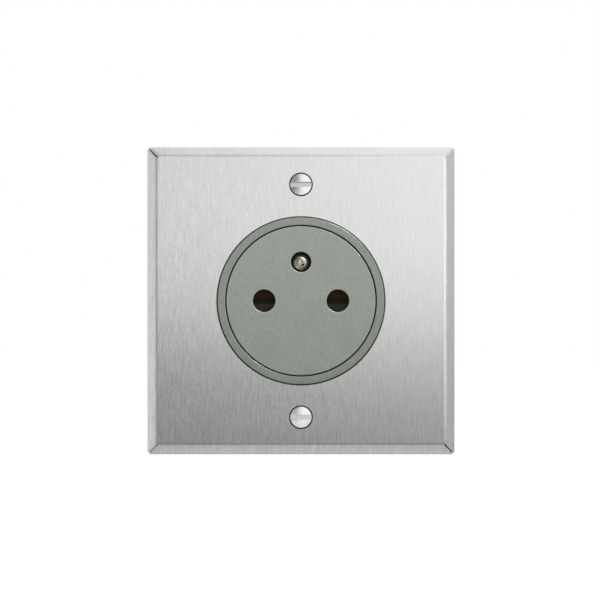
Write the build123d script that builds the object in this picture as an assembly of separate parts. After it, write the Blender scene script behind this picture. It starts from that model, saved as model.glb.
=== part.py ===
from build123d import *
import os
from math import atan2, cos, degrees, radians, sin, sqrt

# Earthed wall socket with a face that sinks when a plug is pushed in.
# X points right and Z up as seen from the room, Y points into the wall.
# The wall surface is at Y = 0 and the origin lies on the plug axis.
# All sizes are in millimetres. A depth is a distance along Y.

# Plug that the socket takes
pin_diameter = 4.8
pin_spacing = 19.0
pin_length = 19.0
earth_offset = 10.0
earth_reach = 14.0

# Cover plate, one sheet folded back on four sides
plate_side = 80.0
plate_height = 4.0
bevel_run = 2.75
sheet = 1.5
fold_radius = 0.7
mitre_gap = 0.25
seam_depth = 0.4
corner_clip = 0.65
plate_gap = 0.3

# Fixing screws, through the plate into the wall box
screw_spacing = 60.0
screw_head = 5.5
screw_head_gap = 0.32
screw_head_rim = 0.75
screw_dome = 0.12
screw_slot = 1.2
screw_slot_depth = 0.9
screw_shank = 2.6
screw_thread = 3.0
screw_reach = 20.0
screw_point = 0.5
screw_seat_gap = 0.05

# Mounting frame, pressed steel
frame_inset = 5.0
frame_corner = 4.0
frame_sheet = 1.2
frame_gap = 0.7
frame_hole = 4.4
neck_wall = 0.8
box_slot_length = 8.0
box_slot_width = 3.6
leg_width = 8.0
leg_gap = 0.9
leg_bend = 1.0
leg_reach = 11.0
leg_relief = 0.6
catch_width = 4.0
catch_depth = 4.6
catch_length = 3.0
catch_land = 0.6
catch_play = 0.1
window_play = 0.3

# Well sleeve, the ring seen from the room and the tube behind it
well_bore = 39.0
ring_width = 2.0
ring_proud = 0.3
ring_edge = 0.2
collar_width = 2.8
collar_depth = 1.8
housing_screw_offset = 1.4
boss_radius = 2.8
boss_depth = 7.5
pilot_radius = 1.0
pilot_depth = 6.5

# Face disc
face_gap = 0.3
face_wall = 2.0
face_edge = 0.2
skirt_wall = 1.5
pin_hole = 5.8
earth_hole = 5.2
hole_edge = 0.2
travel = 15.0
travel_end_gap = 0.3
lug_width = 4.0
lug_length = 2.3
lug_gap = 0.5
lug_play = 0.25
stop_play = 0.1
peg_radius = 1.1
peg_head = 1.8
peg_head_height = 0.7
peg_play = 0.1
peg_margin = 0.15
upper_peg_angle = 65.0
lower_peg_angle = 53.0

# Shutter and its retainer
shutter_cheek = 0.4
shutter_half_height = 3.4
shutter_depth = 4.5
shutter_play = 0.2
shutter_travel = 6.2
shutter_lip = 2.6
shutter_heel = 0.7
ramp_width = 6.0
rail_wall = 1.2
rail_margin = 0.2
stop_rib = 1.2
stop_rib_width = 5.0
retainer_wall = 1.4
retainer_gap = 0.2
retainer_pin_hole = 6.2
retainer_earth_hole = 5.6
shutter_wire = 0.4
shutter_coil = 3.0
shutter_turns = 5.0
shutter_socket_depth = 2.0
shutter_socket_play = 0.35
spring_seat_inset = 1.1
spring_seat_wall = 0.9

# Return spring of the face
return_wire = 0.8
return_coil = 6.4
return_turns = 5.5
return_spigot = 4.8
return_spigot_height = 1.4
return_well = 8.0
return_well_depth = 8.0

# Base block and rear cover
base_floor = 2.0
pin_room = 1.3
base_edge = 0.6
register_height = 1.8
register_gap = 0.2
register_wall = 2.2
lug_radius = 3.4
cover_wall = 2.0
wire_hole = 2.5
wire_pitch = 3.0
pin_guide = 5.8
pin_guide_lead = 0.6
housing_screw_head = 4.0
housing_screw_head_depth = 1.2
housing_screw_thread = 1.8
housing_screw_play = 0.2
housing_screw_slot = 0.6
housing_screw_slot_depth = 0.6
gauge_length = 12.0
gauge_width = 2.2
gauge_depth = 0.5
gauge_z = -12.0

# Contacts, clamps and terminal screws, placed by radius from the plug axis
strip = 0.8
strip_width = 4.4
strip_bend = 0.9
contact_play = 0.05
eye_gap = 0.1
contact_end_gap = 0.7
slit_width = 0.9
slit_start = 2.2
grip_wall = 0.5
grip_play = 0.05
grip_length = 2.2
grip_end_gap = 1.1
grip_slit = 1.2
tail_gap = 0.6
tail_end_gap = 1.0
clamp_length = 7.0
clamp_wall = 1.1
clamp_corner = 0.8
clamp_thread = 3.2
clamp_screw_depth = 3.6
clamp_thread_play = 0.05
terminal_head = 5.2
terminal_head_length = 1.8
terminal_head_gap = 0.5
terminal_sink = 0.3
terminal_slot = 0.8
terminal_slot_depth = 0.9
terminal_access_play = 0.3
pocket_play = 0.4
pocket_gap = 0.2

# Earth pin
earth_tip_flat = 0.7
earth_play = 0.05
rivet_neck = 3.4
rivet_head = 5.4
rivet_head_height = 0.9

# Depths that follow from the sizes above
plate_front = -plate_height
plate_back = plate_front + sheet
ring_front = plate_front - ring_proud
face_back = ring_front + face_wall
shutter_front = face_back + shutter_play
shutter_back = shutter_front + shutter_depth
retainer_front = shutter_back + shutter_play
retainer_back = retainer_front + retainer_wall
skirt_back = retainer_back + peg_head_height
lug_front = skirt_back - lug_length
base_front = skirt_back + travel + travel_end_gap
pocket_front = base_front + base_floor
base_back = ring_front + travel + pin_length + pin_room
cover_back = base_back + cover_wall
strip_back = pocket_front + strip
tail_back = base_back - tail_end_gap
tube_back = base_back - contact_end_gap
earth_tip = ring_front + travel - earth_reach

# Radii and places that follow from the sizes above
bevel_angle = degrees(atan2(bevel_run, plate_height))
face_corner = plate_side / 2 - bevel_run
frame_side = plate_side - 2 * frame_inset
ring_inner = well_bore / 2
ring_outer = ring_inner + ring_width
plate_hole = ring_outer + plate_gap
collar_radius = ring_outer + collar_width
frame_aperture = ring_outer + frame_gap
leg_inner = ring_outer + leg_gap
leg_middle = leg_inner + frame_sheet / 2
leg_outer = leg_inner + frame_sheet
disc_radius = ring_inner - face_gap
skirt_inner = disc_radius - skirt_wall
peg_circle = skirt_inner - peg_head - peg_margin
spring_seat_z = spring_seat_inset - skirt_inner
pin_x = pin_spacing / 2
shutter_half_width = pin_x + ramp_width / 2 + shutter_cheek
contact_bore = pin_diameter / 2 + contact_play
contact_outer = contact_bore + strip
grip_inner = contact_outer + grip_play
pocket_half = grip_inner + grip_wall + pocket_gap
contact_rim = pocket_half - eye_gap
clamp_width = 2 * (pocket_half - pocket_play)
housing_screw_radius = ring_outer + housing_screw_offset
base_radius = ring_outer + register_gap + register_wall
terminal_head_end = base_radius - terminal_sink
terminal_head_start = terminal_head_end - terminal_head_length
clamp_outer_radius = terminal_head_start - terminal_head_gap
clamp_inner_radius = clamp_outer_radius - clamp_length
tail_radius = clamp_outer_radius - clamp_wall - tail_gap - strip / 2
screw_z = screw_spacing / 2
quarter_turns = (0, 90, 180, 270)
diagonals = (45, 135, 225, 315)
housing_screw_angles = (45, 225)
live_turn = 0
neutral_turn = 180
earth_turn = -90


def layer(outline, near, far):
    """Solid with an outline drawn as seen from the room, between two depths."""
    return extrude(Plane.XZ.offset(-near) * outline, near - far)


def turned(*outline):
    """Solid turned about the plug axis from corners given as radius and depth."""
    return revolve(make_face(Polyline(*outline, close=True)), Axis.Y)


def strap(outline, width):
    """Solid with a section drawn in radius and depth, of one width to both sides."""
    return extrude(outline, width / 2, both=True)


def around(solid, angles):
    """Copies of a solid turned about the plug axis."""
    return [solid.rotate(Axis.Y, angle) for angle in angles]


def from_axis(radius, angle):
    """Place at a radius and an angle from the plug axis, turned as copies are."""
    return Pos(radius * cos(radians(angle)), -radius * sin(radians(angle)))


def coil(radius, wire, turns, near, far):
    """Round wire wound about the Z axis between two heights."""
    length = far - near - wire
    path = Helix(pitch=length / turns, height=length, radius=radius, center=(0, 0, near + wire / 2))
    return sweep(Plane(origin=path @ 0, z_dir=path % 0) * Circle(wire / 2), path=path, is_frenet=True)


def plate_form(depth):
    """Outer form of the plate, sunk by a depth of sheet all round."""
    side = plate_side - 2 * depth / cos(radians(bevel_angle))
    return extrude(Plane.XZ * Rectangle(side, side), plate_height - depth, taper=bevel_angle)


def cover_plate():
    """Sheet with four sides folded back, meeting in mitre seams that are closed from behind."""
    plate_half = plate_side / 2
    outer = fillet(plate_form(0).edges().group_by(Axis.Y)[0], fold_radius)
    seam_start = sqrt(2) * face_corner
    seam_length = sqrt(2) * bevel_run
    clip_length = corner_clip / sqrt(2)
    clip_start = sqrt(2) * plate_half - clip_length
    seam = Pos(seam_start + seam_length / 2) * Rectangle(seam_length, mitre_gap)
    relief = Pos(seam_start) * Circle(mitre_gap)
    clip = Pos(clip_start + clip_length) * Rectangle(2 * clip_length, 2 * corner_clip + mitre_gap)
    seams = around(layer(seam + relief, plate_front - fold_radius, 0), diagonals)
    plate = outer - [cut - plate_form(seam_depth) for cut in seams]
    plate -= around(layer(clip, plate_front, 0), diagonals)
    plate -= plate_form(sheet)
    plate -= layer(Circle(plate_hole), plate_front, 0)
    hole_radius = screw_head / 2 + screw_head_gap
    cone_front = plate_front + screw_head_rim - screw_head_gap
    cone_depth = plate_back - cone_front
    sink = turned(
        (0, plate_front),
        (hole_radius, plate_front),
        (hole_radius, cone_front),
        (hole_radius - cone_depth, plate_back),
        (0, plate_back),
    )
    return plate - [Pos(0, 0, z) * sink for z in (-screw_z, screw_z)]


def fixing_screws():
    """Two slotted screws with sunk, slightly domed heads."""
    head_radius = screw_head / 2
    rim_back = plate_front + screw_head_rim - screw_seat_gap
    cone_back = rim_back + head_radius - screw_shank / 2
    edges = [
        TangentArc((0, plate_front - screw_dome), (head_radius, plate_front), tangent=(1, 0)),
        Polyline(
            (head_radius, plate_front),
            (head_radius, rim_back),
            (screw_shank / 2, cone_back),
            (screw_shank / 2, 0),
            (screw_thread / 2, 0),
            (screw_thread / 2, screw_reach - screw_point),
            (screw_thread / 2 - screw_point, screw_reach),
            (0, screw_reach),
            (0, plate_front - screw_dome),
        ),
    ]
    screw = revolve(make_face(edges), Axis.Y)
    slot_top = plate_front - screw_dome
    screw -= layer(Rectangle(screw_head, screw_slot), slot_top, slot_top + screw_slot_depth)
    return Compound(children=[Pos(0, 0, z) * screw for z in (-screw_z, screw_z)])


def mounting_frame():
    """Pressed steel frame with screw necks, box slots and four sprung legs with windows."""
    neck_outer = Circle(frame_hole / 2 + neck_wall)
    neck_places = [Pos(0, z) for z in (-screw_z, screw_z)]
    outline = RectangleRounded(frame_side, frame_side, frame_corner) - Circle(frame_aperture)
    outline += [place * neck_outer for place in neck_places]
    outline -= [place * Circle(frame_hole / 2) for place in neck_places]
    box_slot = SlotOverall(box_slot_length, box_slot_width, rotation=90)
    outline -= [Pos(x) * box_slot for x in (-screw_z, screw_z)]
    bend_start = leg_middle + leg_bend
    leg_gate = Pos(bend_start / 2) * Rectangle(bend_start, leg_width + 2 * leg_relief)
    outline -= [leg_gate.rotate(Axis.Z, angle) for angle in diagonals]
    frame = layer(outline, -frame_sheet, 0)
    neck = neck_outer - Circle(frame_hole / 2)
    frame += [layer(place * neck, plate_back, -frame_sheet) for place in neck_places]
    sheet_middle = -frame_sheet / 2
    root = bend_start + leg_relief
    knee = (leg_middle, sheet_middle)
    path = FilletPolyline((root, sheet_middle), knee, (leg_middle, leg_reach), radius=leg_bend)
    leg = strap(trace(path, frame_sheet), leg_width)
    window_front = catch_depth - window_play
    window_back = catch_depth + catch_length + catch_play
    window_middle = (window_front + window_back) / 2
    window_width = catch_width + 2 * window_play
    window = Box(2 * frame_sheet, window_back - window_front, window_width)
    leg -= Pos(leg_middle, window_middle) * window
    return frame + around(leg, diagonals)


def well_sleeve():
    """Ring and tube of the well, with slots that guide and stop the face."""
    sleeve = turned(
        (ring_inner, ring_front),
        (ring_outer, ring_front),
        (ring_outer, 0),
        (collar_radius, 0),
        (collar_radius, collar_depth),
        (ring_outer, collar_depth),
        (ring_outer, base_front),
        (ring_inner, base_front),
    )
    sleeve = fillet(sleeve.edges().group_by(Axis.Y)[0], ring_edge)
    boss = Circle(boss_radius)
    for angle in housing_screw_angles:
        sleeve += layer(from_axis(housing_screw_radius, angle) * boss, base_front - boss_depth, base_front)
    catch_root = ring_outer - ring_width / 2
    catch_back = catch_depth + catch_length
    catch_section = make_face(
        Polyline(
            (catch_root, catch_depth),
            (ring_outer, catch_depth),
            (leg_outer, catch_back - catch_land),
            (leg_outer, catch_back),
            (catch_root, catch_back),
            close=True,
        )
    )
    sleeve += around(strap(catch_section, catch_width), diagonals)
    gate_width = leg_width + 2 * leg_relief
    gate_start = leg_inner - leg_gap / 2
    gate = Pos(gate_start + collar_width / 2) * Rectangle(collar_width, gate_width)
    sleeve -= around(layer(gate, 0, collar_depth), diagonals)
    slot_length = base_front - lug_front + stop_play
    guide = Pos(ring_inner + ring_width / 2) * Rectangle(2 * ring_width, lug_width + 2 * lug_play)
    sleeve -= around(layer(guide, base_front - slot_length, base_front), quarter_turns)
    pilot = Circle(pilot_radius)
    for angle in housing_screw_angles:
        sleeve -= layer(from_axis(housing_screw_radius, angle) * pilot, base_front - pilot_depth, base_front)
    return sleeve


def peg_places():
    """Places of the pegs that hold the retainer, as seen from the room."""
    angles = (-upper_peg_angle, upper_peg_angle - 180, lower_peg_angle, 180 - lower_peg_angle)
    return [from_axis(peg_circle, angle) for angle in angles]


def face_disc():
    """Cup-shaped face with pin holes, shutter rails, staked pegs and guide lugs."""
    disc = turned(
        (0, ring_front),
        (disc_radius, ring_front),
        (disc_radius, skirt_back),
        (skirt_inner, skirt_back),
        (skirt_inner, face_back),
        (0, face_back),
    )
    disc = fillet(disc.edges().group_by(Axis.Y)[0], face_edge)
    pin_holes = [Pos(x) * Circle(pin_hole / 2) for x in (-pin_x, pin_x)]
    earth = Pos(0, earth_offset) * Circle(earth_hole / 2)
    disc -= [layer(hole, ring_front, face_back) for hole in pin_holes + [earth]]
    hole_rims = disc.edges().filter_by(GeomType.CIRCLE).group_by(Axis.Y)[0]
    disc = fillet([rim for rim in hole_rims if rim.radius < pin_hole], hole_edge)
    rail_x = shutter_half_width + rail_margin + rail_wall / 2
    rail_low = -shutter_half_height - shutter_travel
    rail_height = shutter_half_height - rail_low
    rail = Rectangle(rail_wall, rail_height)
    rail_z = (shutter_half_height + rail_low) / 2
    disc += [layer(Pos(x, rail_z) * rail, face_back, retainer_front) for x in (-rail_x, rail_x)]
    rib_z = shutter_half_height + rail_margin + stop_rib / 2
    rib = Rectangle(stop_rib_width, stop_rib)
    disc += [layer(Pos(x, rib_z) * rib, face_back, retainer_front) for x in (-pin_x, pin_x)]
    seat = Pos(0, spring_seat_z - spring_seat_wall / 2) * Rectangle(2 * shutter_coil, spring_seat_wall)
    disc += layer(seat, face_back, retainer_front)
    for place in peg_places():
        disc += layer(place * Circle(peg_radius), face_back, retainer_back)
        disc += layer(place * Circle(peg_head), retainer_back, skirt_back)
    lug_start = disc_radius - skirt_wall / 2
    lug_end = ring_outer - lug_gap
    lug = Pos((lug_start + lug_end) / 2) * Rectangle(lug_end - lug_start, lug_width)
    return disc + around(layer(lug, lug_front, skirt_back), quarter_turns)


def shutter():
    """Slide that closes both pin holes, with a ramp before each for the pins to push on."""
    section = make_face(
        Polyline(
            (shutter_front, -shutter_half_height),
            (shutter_back, -shutter_half_height),
            (shutter_back, shutter_half_height),
            (shutter_front, shutter_half_height),
            close=True,
        )
    )
    slide = extrude(Plane.YZ * section, shutter_half_width, both=True)
    ramp_foot = -shutter_half_height + shutter_lip
    ramp = make_face(
        Polyline(
            (shutter_front, ramp_foot),
            (shutter_back - shutter_heel, shutter_half_height),
            (shutter_front, shutter_half_height),
            close=True,
        )
    )
    ramp_cut = extrude(Plane.YZ * ramp, ramp_width / 2, both=True)
    slide -= [Pos(x) * ramp_cut for x in (-pin_x, pin_x)]
    socket_radius = (shutter_coil + shutter_wire) / 2 + shutter_socket_play
    socket_align = (Align.CENTER, Align.CENTER, Align.MIN)
    socket = Cylinder(socket_radius, shutter_socket_depth, align=socket_align)
    return slide - Pos(0, (shutter_front + shutter_back) / 2, -shutter_half_height) * socket


def shutter_spring():
    """Coil below the shutter that pushes it up over the pin holes."""
    top = -shutter_half_height + shutter_socket_depth
    wound = coil(shutter_coil / 2, shutter_wire, shutter_turns, spring_seat_z, top)
    return Pos(0, (shutter_front + shutter_back) / 2) * wound


def shutter_retainer():
    """Back of the face: keeps the shutter in and carries the return spring."""
    outline = Circle(skirt_inner - retainer_gap)
    outline -= [Pos(x) * Circle(retainer_pin_hole / 2) for x in (-pin_x, pin_x)]
    outline -= Pos(0, earth_offset) * Circle(retainer_earth_hole / 2)
    outline -= [place * Circle(peg_radius + peg_play) for place in peg_places()]
    spigot = layer(Circle(return_spigot / 2), retainer_back, retainer_back + return_spigot_height)
    return layer(outline, retainer_front, retainer_back) + spigot


def return_spring():
    """Coil on the plug axis that pushes the face out again."""
    wound = coil(return_coil / 2, return_wire, return_turns, retainer_back, base_front + return_well_depth)
    return wound.rotate(Axis.X, -90)


def housing_outline():
    """Round outline of base and cover with a lug at each housing screw."""
    outline = Circle(base_radius)
    for angle in housing_screw_angles:
        outline += from_axis(housing_screw_radius, angle) * Circle(lug_radius)
    return outline


def terminal_pocket(inner_radius):
    """Pocket for one contact and its clamp, as seen from the room, towards +X."""
    outer_radius = clamp_outer_radius + pocket_play
    straight = Rectangle(outer_radius - inner_radius, 2 * pocket_half)
    return Pos((inner_radius + outer_radius) / 2) * straight + Pos(inner_radius) * Circle(pocket_half)


def base_block():
    """Contact carrier with pockets open to the back, pin guides and the spring well."""
    block = layer(housing_outline(), base_front, base_back)
    block = fillet(block.edges().group_by(Axis.Y)[-1], base_edge)
    register = Circle(base_radius) - Circle(ring_outer + register_gap)
    for angle in housing_screw_angles:
        register -= from_axis(housing_screw_radius, angle) * Circle(boss_radius + register_gap)
    block += layer(register, base_front - register_height, base_front)
    pockets = {live_turn: pin_x, neutral_turn: pin_x, earth_turn: earth_offset}
    for turn, inner_radius in pockets.items():
        pocket = layer(terminal_pocket(inner_radius), pocket_front, base_back)
        block -= pocket.rotate(Axis.Y, turn)
        access_radius = terminal_head / 2 + terminal_access_play
        access = Plane.YZ.offset(clamp_outer_radius) * Circle(access_radius)
        access_length = base_radius - clamp_outer_radius + base_edge
        bore = Pos(0, strip_back + clamp_screw_depth) * extrude(access, access_length)
        block -= bore.rotate(Axis.Y, turn)
    guide = turned(
        (0, base_front),
        (pin_guide / 2 + pin_guide_lead, base_front),
        (pin_guide / 2, base_front + pin_guide_lead),
        (pin_guide / 2, pocket_front),
        (0, pocket_front),
    )
    block -= [Pos(x) * guide for x in (-pin_x, pin_x)]
    earth_seat = Pos(0, earth_offset) * Circle(pin_diameter / 2 + earth_play)
    block -= layer(earth_seat, base_front, pocket_front)
    block -= layer(Circle(return_well / 2), base_front, base_front + return_well_depth)
    through = Circle(housing_screw_thread / 2 + housing_screw_play)
    for angle in housing_screw_angles:
        block -= layer(from_axis(housing_screw_radius, angle) * through, base_front, base_back)
    return block


def rear_cover():
    """Back plate with wire holes, sunk screw heads and a wire-stripping gauge."""
    cover = layer(housing_outline(), base_back, cover_back)
    cover = fillet(cover.edges().group_by(Axis.Y)[-1], base_edge)
    wire_radius = (clamp_inner_radius + clamp_wall + tail_radius - strip / 2) / 2
    wire = turned(
        (0, base_back),
        (wire_hole / 2, base_back),
        (wire_hole / 2, cover_back - pin_guide_lead),
        (wire_hole / 2 + pin_guide_lead, cover_back),
        (0, cover_back),
    )
    pair = [Pos(wire_radius, 0, z) * wire for z in (-wire_pitch / 2, wire_pitch / 2)]
    for turn in (live_turn, neutral_turn, earth_turn):
        cover -= [hole.rotate(Axis.Y, turn) for hole in pair]
    head_front = cover_back - housing_screw_head_depth
    for angle in housing_screw_angles:
        place = from_axis(housing_screw_radius, angle)
        cover -= layer(place * Circle(housing_screw_thread / 2 + housing_screw_play), base_back, cover_back)
        cover -= layer(place * Circle(housing_screw_head / 2 + housing_screw_play), head_front, cover_back)
    gauge = Pos(0, gauge_z) * SlotOverall(gauge_length, gauge_width)
    return cover - layer(gauge, cover_back - gauge_depth, cover_back)


def housing_screws():
    """Two long screws that clamp cover, base and sleeve together."""
    head_front = cover_back - housing_screw_head_depth
    tip = base_front - pilot_depth + pilot_radius
    screw = layer(Circle(housing_screw_head / 2), head_front, cover_back)
    slot = Rectangle(housing_screw_head, housing_screw_slot)
    screw -= layer(slot, cover_back - housing_screw_slot_depth, cover_back)
    screw += layer(Circle(housing_screw_thread / 2), tip, head_front)
    places = [from_axis(housing_screw_radius, angle) for angle in housing_screw_angles]
    return Compound(children=[Pos(p.position.X, 0, p.position.Y) * screw for p in places])


def folded_strip(inner_radius, hole_radius):
    """Brass strip from an eye at the given radius to the tail in the clamp, along +X."""
    strip_middle = pocket_front + strip / 2
    path = FilletPolyline(
        (inner_radius + contact_rim, strip_middle),
        (tail_radius, strip_middle),
        (tail_radius, tail_back),
        radius=strip_bend,
    )
    tail = strap(trace(path, strip), strip_width)
    neck = Pos(inner_radius + contact_rim / 2) * Rectangle(contact_rim, strip_width)
    eye = Pos(inner_radius) * Circle(contact_rim) + neck
    hole = Pos(inner_radius) * Circle(hole_radius)
    return tail + layer(eye - hole, pocket_front, strip_back)


def pin_contact():
    """Strip with a drawn tube, slit so that it grips the plug's pin."""
    tube = layer(Circle(contact_outer) - Circle(contact_bore), pocket_front, tube_back)
    slit = layer(Rectangle(slit_width, 2 * contact_rim), pocket_front + slit_start, tube_back)
    return folded_strip(pin_x, contact_bore) + Pos(pin_x) * (tube - slit)


def grip_ring():
    """Steel ring that presses the two halves of the contact tube together."""
    ring = Circle(grip_inner + grip_wall) - Circle(grip_inner)
    ring -= Pos(0, grip_inner) * Rectangle(grip_slit, 2 * grip_wall + grip_slit)
    far = tube_back - grip_end_gap
    return Pos(pin_x) * layer(ring, far - grip_length, far)


def earth_strap():
    """Strip that joins the earth pin to its clamp."""
    return folded_strip(earth_offset, rivet_neck / 2).rotate(Axis.Y, earth_turn)


def earth_pin():
    """Turned pin with a bullet tip, riveted to its strap."""
    radius = pin_diameter / 2
    nose = radius - earth_tip_flat
    tip_back = earth_tip + nose
    rivet_top = strip_back + rivet_head_height
    edges = [
        Line((0, earth_tip), (earth_tip_flat, earth_tip)),
        CenterArc((earth_tip_flat, tip_back), nose, 270, 90),
        Polyline(
            (radius, tip_back),
            (radius, pocket_front),
            (rivet_neck / 2, pocket_front),
            (rivet_neck / 2, strip_back),
            (rivet_head / 2, strip_back),
        ),
        TangentArc((0, rivet_top), (rivet_head / 2, strip_back), tangent=(1, 0)),
        Line((0, rivet_top), (0, earth_tip)),
    ]
    return Pos(0, 0, earth_offset) * revolve(make_face(edges), Axis.Y)


def clamp():
    """Brass cage round the strip's tail, pulled tight on the wire by its screw."""
    inside = Rectangle(clamp_length - 2 * clamp_wall, clamp_width - 2 * clamp_wall)
    outline = RectangleRounded(clamp_length, clamp_width, clamp_corner) - inside
    middle = (clamp_outer_radius + clamp_inner_radius) / 2
    cage = layer(Pos(middle) * outline, strip_back, tail_back)
    thread = Plane.YZ.offset(middle) * Circle(clamp_thread / 2 + clamp_thread_play)
    return cage - Pos(0, strip_back + clamp_screw_depth) * extrude(thread, clamp_length / 2)


def terminal_screw():
    """Slotted screw that bears on the strip's tail, head outwards along +X."""
    tip = tail_radius + strip / 2
    shank = extrude(Plane.YZ.offset(tip) * Circle(clamp_thread / 2), terminal_head_start - tip)
    head = extrude(Plane.YZ.offset(terminal_head_start) * Circle(terminal_head / 2), terminal_head_length)
    slot = Plane.YZ.offset(terminal_head_end) * Rectangle(terminal_head, terminal_slot)
    head -= extrude(slot, -terminal_slot_depth)
    return Pos(0, strip_back + clamp_screw_depth) * (shank + head)


live_contact = pin_contact()
live_ring = grip_ring()
live_cage = clamp()
terminal_turns = (live_turn, neutral_turn, earth_turn)

nodes = {
    "cover_plate": cover_plate(),
    "fixing_screws": fixing_screws(),
    "mounting_frame": mounting_frame(),
    "well_sleeve": well_sleeve(),
    "face_disc": face_disc(),
    "shutter_retainer": shutter_retainer(),
    "shutter": shutter(),
    "shutter_spring": shutter_spring(),
    "return_spring": return_spring(),
    "base_block": base_block(),
    "rear_cover": rear_cover(),
    "housing_screws": housing_screws(),
    "live_contact": live_contact,
    "neutral_contact": live_contact.rotate(Axis.Y, neutral_turn),
    "live_grip_ring": live_ring,
    "neutral_grip_ring": live_ring.rotate(Axis.Y, neutral_turn),
    "earth_pin": earth_pin(),
    "earth_strap": earth_strap(),
    "live_clamp": live_cage,
    "neutral_clamp": live_cage.rotate(Axis.Y, neutral_turn),
    "earth_clamp": live_cage.rotate(Axis.Y, earth_turn),
    "terminal_screws": Compound(children=around(terminal_screw(), terminal_turns)),
}

os.makedirs("parts", exist_ok=True)
for name, solid in nodes.items():
    export_step(solid, f"parts/{name}.step")
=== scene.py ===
"""Looks of an earthed wall socket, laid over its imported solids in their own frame.

Lengths are in metres, X points right, Z up and Y into the wall. Sizes written as
millimetres are multiplied by MM.
"""
import logging
import math
from dataclasses import dataclass, field
from enum import Enum

import bmesh
import bpy
import numpy as np
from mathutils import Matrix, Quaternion, Vector


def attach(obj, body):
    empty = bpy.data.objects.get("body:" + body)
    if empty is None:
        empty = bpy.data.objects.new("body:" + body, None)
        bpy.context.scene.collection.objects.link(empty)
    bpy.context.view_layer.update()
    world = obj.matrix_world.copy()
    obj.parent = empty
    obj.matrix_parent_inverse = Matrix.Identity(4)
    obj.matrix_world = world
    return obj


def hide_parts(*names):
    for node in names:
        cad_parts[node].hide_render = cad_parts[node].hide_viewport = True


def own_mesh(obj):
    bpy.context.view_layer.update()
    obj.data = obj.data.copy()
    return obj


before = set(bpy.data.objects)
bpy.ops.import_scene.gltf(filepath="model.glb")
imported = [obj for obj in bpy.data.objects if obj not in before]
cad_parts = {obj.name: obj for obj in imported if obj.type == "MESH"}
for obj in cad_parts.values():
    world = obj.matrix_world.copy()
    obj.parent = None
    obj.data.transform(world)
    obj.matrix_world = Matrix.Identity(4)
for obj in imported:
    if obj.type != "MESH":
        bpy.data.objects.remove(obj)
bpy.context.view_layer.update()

Colour = tuple[float, float, float]
Triple = tuple[float, float, float]
Pair = tuple[float, float]
Span = tuple[float, float]
Socket = bpy.types.NodeSocket
Value = Socket | float

MM = 0.001
# Range of a share, and the range that noise mostly stays in.
FULL: Span = (0.0, 1.0)
NOISE: Span = (0.3, 0.7)
# Side of the square that the UV map of a smoothed solid covers.
SHEET = 100.0 * MM
# Points nearer than this are one point, and shorter edges than this are dropped.
SAME_POINT = 0.0002 * MM
TINY_EDGE = 0.0001 * MM
# Part of a normal along an axis: less than the first on a wall, more than the second on a front,
# and more than the third on a straight face.
WALL, FRONT, STRAIGHT = 0.3, 0.9, 0.95
# New pieces that lamps are kept to or kept off.
PLATE, RING, FACE = "cover_plate_smooth", "well_sleeve_smooth", "face_disc_smooth"
SCREWS, PIN = "fixing_screws_cut", "earth_pin_turned"
log = logging.getLogger("wall_socket")


class Body(Enum):
    """Bodies that new pieces ride on."""

    HOUSING = "housing"
    FACE = "face"


class Axis(Enum):
    """Axes of the frame, by number."""

    X = 0
    Y = 1
    Z = 2


class Reach(Enum):
    """Pieces that a lamp lights: all, only those that are named, or all but those."""

    ALL = "ALL"
    ONLY = "INCLUDE"
    ALL_BUT = "EXCLUDE"


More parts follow.
